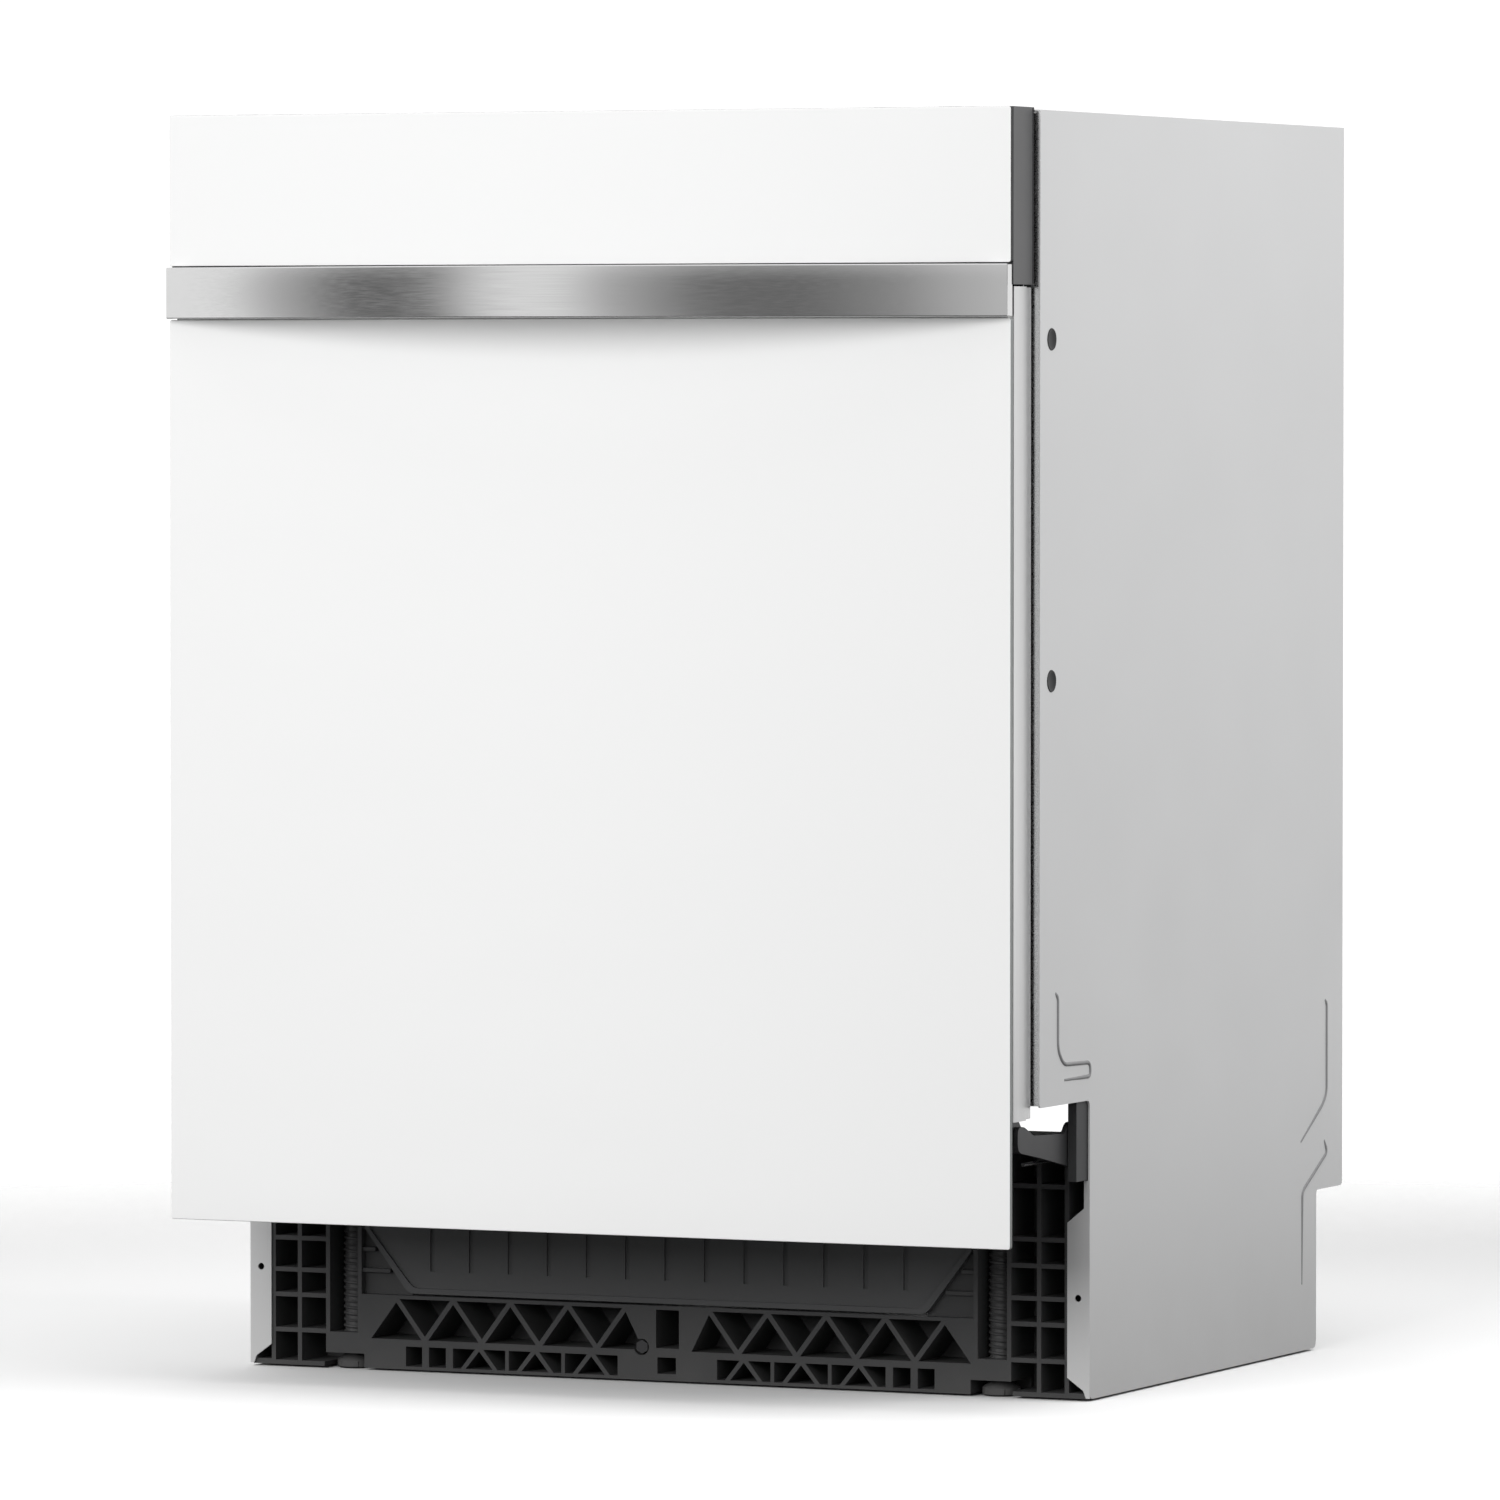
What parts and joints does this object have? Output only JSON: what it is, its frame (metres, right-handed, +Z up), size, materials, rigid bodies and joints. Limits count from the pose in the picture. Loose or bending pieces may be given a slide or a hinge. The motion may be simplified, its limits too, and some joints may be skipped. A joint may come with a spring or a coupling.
{
  "type": "built-in dishwasher",
  "caption": "Built-in dishwasher with a white glass drop-down door, bowed full-width steel handle, hidden top controls, sliding racks and a ribbed base on screw feet.",
  "frame": {"origin": "on the floor, under the middle of the overall box", "axes": "+Z up, -Y is the door side, +X to the right of a person facing the door"},
  "size_m": [0.606, 0.602, 0.83],
  "materials": {
    "white_glass": "opaque white, polished",
    "handle_steel": "brushed along its length",
    "inner_steel": "satin",
    "panel_paint": "pale grey, satin",
    "galvanised": "zinc, matt",
    "hinge_steel": "dark, matt",
    "pump_metal": "cast, matt",
    "base_plastic": "moulded, matt",
    "dark_plastic": "matt",
    "housing_plastic": "moulded, satin",
    "grey_plastic": "satin",
    "pale_plastic": "satin",
    "basket_plastic": "satin",
    "leg_plastic": "moulded",
    "key_plastic": "satin",
    "display_black": "gloss",
    "rack_coating": "nylon-coated wire",
    "rubber": "matt"
  },
  "bodies": {
    "cabinet": {"tub": "inner_steel", "tub_gasket": "rubber", "top_front_brace": "galvanised", "rear_brace": "galvanised", "base_front_frame": "base_plastic", "base_pan": "base_plastic", "kick_scoop_cover": "base_plastic", "sump_housing": "grey_plastic", "coarse_filter_plate": "inner_steel", "heating_element": "inner_steel", "feed_tube": "grey_plastic", "circulation_pump": "pump_metal", "drain_pump": "dark_plastic", "inlet_valve": "pale_plastic", "terminal_box": "galvanised", "door_strike": "inner_steel", "side_panel_left": "panel_paint", "side_panel_right": "panel_paint", "hinge_bracket_left": "hinge_steel", "hinge_bracket_right": "hinge_steel", "door_spring_left": "galvanised", "door_spring_right": "galvanised", "rail_bracket_left": "inner_steel", "rail_bracket_right": "inner_steel"},
    "door": {"glass_panel_upper": "white_glass", "glass_panel_lower": "white_glass", "handle_bar": "handle_steel", "door_frame": "panel_paint", "door_liner": "inner_steel", "control_housing": "housing_plastic", "display_window": "display_black", "detergent_dispenser": "grey_plastic", "latch_case": "dark_plastic", "door_bottom_seal": "rubber", "hinge_arm_left": "galvanised", "hinge_arm_right": "galvanised"},
    "detergent_lid": {"detergent_lid": "grey_plastic"},
    "rinse_aid_cap": {"rinse_aid_cap": "grey_plastic"},
    "latch_hook": {"latch_hook": "galvanised"},
    "power_button": {"power_button": "key_plastic"},
    "start_button": {"start_button": "key_plastic"},
    "cycle_button": {"cycle_button": "key_plastic"},
    "lower_rack": {"lower_rack": "rack_coating", "cutlery_basket": "basket_plastic"},
    "rack_wheel_front_left": {"rack_wheel_front_left": "grey_plastic"},
    "rack_wheel_rear_left": {"rack_wheel_rear_left": "grey_plastic"},
    "rack_wheel_front_right": {"rack_wheel_front_right": "grey_plastic"},
    "rack_wheel_rear_right": {"rack_wheel_rear_right": "grey_plastic"},
    "upper_rack": {"upper_rack": "rack_coating"},
    "lower_spray_arm": {"lower_spray_arm": "grey_plastic"},
    "upper_spray_arm": {"upper_spray_arm": "grey_plastic"},
    "top_spray_arm": {"top_spray_arm": "grey_plastic"},
    "fine_filter": {"fine_filter": "grey_plastic"},
    "overfill_float": {"overfill_float": "pale_plastic"},
    "levelling_leg_left": {"levelling_leg_left": "leg_plastic"},
    "levelling_leg_right": {"levelling_leg_right": "leg_plastic"},
    "rear_leg": {"rear_leg": "leg_plastic"},
    "rear_leg_shaft": {"rear_leg_shaft": "galvanised"},
    "upper_tracks": {"upper_track_left": "inner_steel", "upper_track_right": "inner_steel"}
  },
  "joints": [
    {"name": "door_hinge", "type": "hinge", "parent": "cabinet", "child": "door", "pos_m": [0, -0.237, 0.175], "axis": [1, 0, 0], "range_deg": [0, 90], "stiffness_Nm_per_rad": 18, "springref_deg": -9.74},
    {"name": "detergent_lid_slide", "type": "slide", "parent": "door", "child": "detergent_lid", "axis": [0, 0, 1], "range_m": [0, 0.045]},
    {"name": "rinse_cap_twist", "type": "hinge", "parent": "door", "child": "rinse_aid_cap", "pos_m": [0.084, -0.233, 0.476], "axis": [0, -1, 0], "range_deg": [0, 90]},
    {"name": "latch_pivot", "type": "hinge", "parent": "door", "child": "latch_hook", "pos_m": [0, -0.2495, 0.8104], "axis": [1, 0, 0], "range_deg": [0, 15]},
    {"name": "power_press", "type": "slide", "parent": "door", "child": "power_button", "axis": [0, 0, -1], "range_m": [0, 0.0012], "stiffness_N_per_m": 400},
    {"name": "start_press", "type": "slide", "parent": "door", "child": "start_button", "axis": [0, 0, -1], "range_m": [0, 0.0012], "stiffness_N_per_m": 400},
    {"name": "cycle_press", "type": "slide", "parent": "door", "child": "cycle_button", "axis": [0, 0, -1], "range_m": [0, 0.0012], "stiffness_N_per_m": 400},
    {"name": "lower_rack_slide", "type": "slide", "parent": "cabinet", "child": "lower_rack", "axis": [0, -1, 0], "range_m": [0, 0.1]},
    {"name": "wheel_roll_front_left", "type": "hinge", "parent": "lower_rack", "child": "rack_wheel_front_left", "pos_m": [-0.262, -0.11, 0.2205], "axis": [1, 0, 0], "continuous": true},
    {"name": "wheel_roll_front_right", "type": "hinge", "parent": "lower_rack", "child": "rack_wheel_front_right", "pos_m": [0.262, -0.11, 0.2205], "axis": [1, 0, 0], "continuous": true},
    {"name": "wheel_roll_rear_left", "type": "hinge", "parent": "lower_rack", "child": "rack_wheel_rear_left", "pos_m": [-0.262, 0.15, 0.2205], "axis": [1, 0, 0], "continuous": true},
    {"name": "wheel_roll_rear_right", "type": "hinge", "parent": "lower_rack", "child": "rack_wheel_rear_right", "pos_m": [0.262, 0.15, 0.2205], "axis": [1, 0, 0], "continuous": true},
    {"name": "upper_rack_slide", "type": "slide", "parent": "cabinet", "child": "upper_rack", "axis": [0, -1, 0], "range_m": [0, 0.45]},
    {"name": "upper_track_slide", "type": "slide", "parent": "cabinet", "child": "upper_tracks", "axis": [0, -1, 0], "range_m": [0, 0.225]},
    {"name": "lower_arm_spin", "type": "hinge", "parent": "cabinet", "child": "lower_spray_arm", "pos_m": [0, 0.029, 0.245], "axis": [0, 0, 1], "continuous": true},
    {"name": "upper_arm_spin", "type": "hinge", "parent": "upper_rack", "child": "upper_spray_arm", "pos_m": [0, 0.029, 0.48], "axis": [0, 0, 1], "continuous": true},
    {"name": "top_arm_spin", "type": "hinge", "parent": "cabinet", "child": "top_spray_arm", "pos_m": [0, 0.029, 0.773], "axis": [0, 0, 1], "continuous": true},
    {"name": "filter_twist", "type": "hinge", "parent": "cabinet", "child": "fine_filter", "pos_m": [0.052, 0.062, 0.2], "axis": [0, 0, 1], "range_deg": [0, 90]},
    {"name": "float_lift", "type": "slide", "parent": "cabinet", "child": "overfill_float", "axis": [0, 0, 1], "range_m": [0, 0.012]},
    {"name": "leg_screw_left", "type": "slide", "parent": "cabinet", "child": "levelling_leg_left", "axis": [0, 0, -1], "range_m": [0, 0.05]},
    {"name": "leg_screw_right", "type": "slide", "parent": "cabinet", "child": "levelling_leg_right", "axis": [0, 0, -1], "range_m": [0, 0.05]},
    {"name": "rear_leg_screw", "type": "slide", "parent": "cabinet", "child": "rear_leg", "axis": [0, 0, -1], "range_m": [0, 0.04]},
    {"name": "rear_shaft_turn", "type": "hinge", "parent": "cabinet", "child": "rear_leg_shaft", "pos_m": [-0.016, -0.14, 0.0232], "axis": [0, 1, 0], "range_deg": [0, 3600]}
  ],
  "couplings": [
    {"joint": "lower_rack_slide", "follows": "door_hinge", "m_per_rad": 0.0636},
    {"joint": "upper_rack_slide", "follows": "door_hinge", "m_per_rad": 0.286},
    {"joint": "upper_track_slide", "follows": "door_hinge", "m_per_rad": 0.143},
    {"joint": "rear_leg_screw", "follows": "rear_shaft_turn", "m_per_rad": 0.000636}
  ]
}
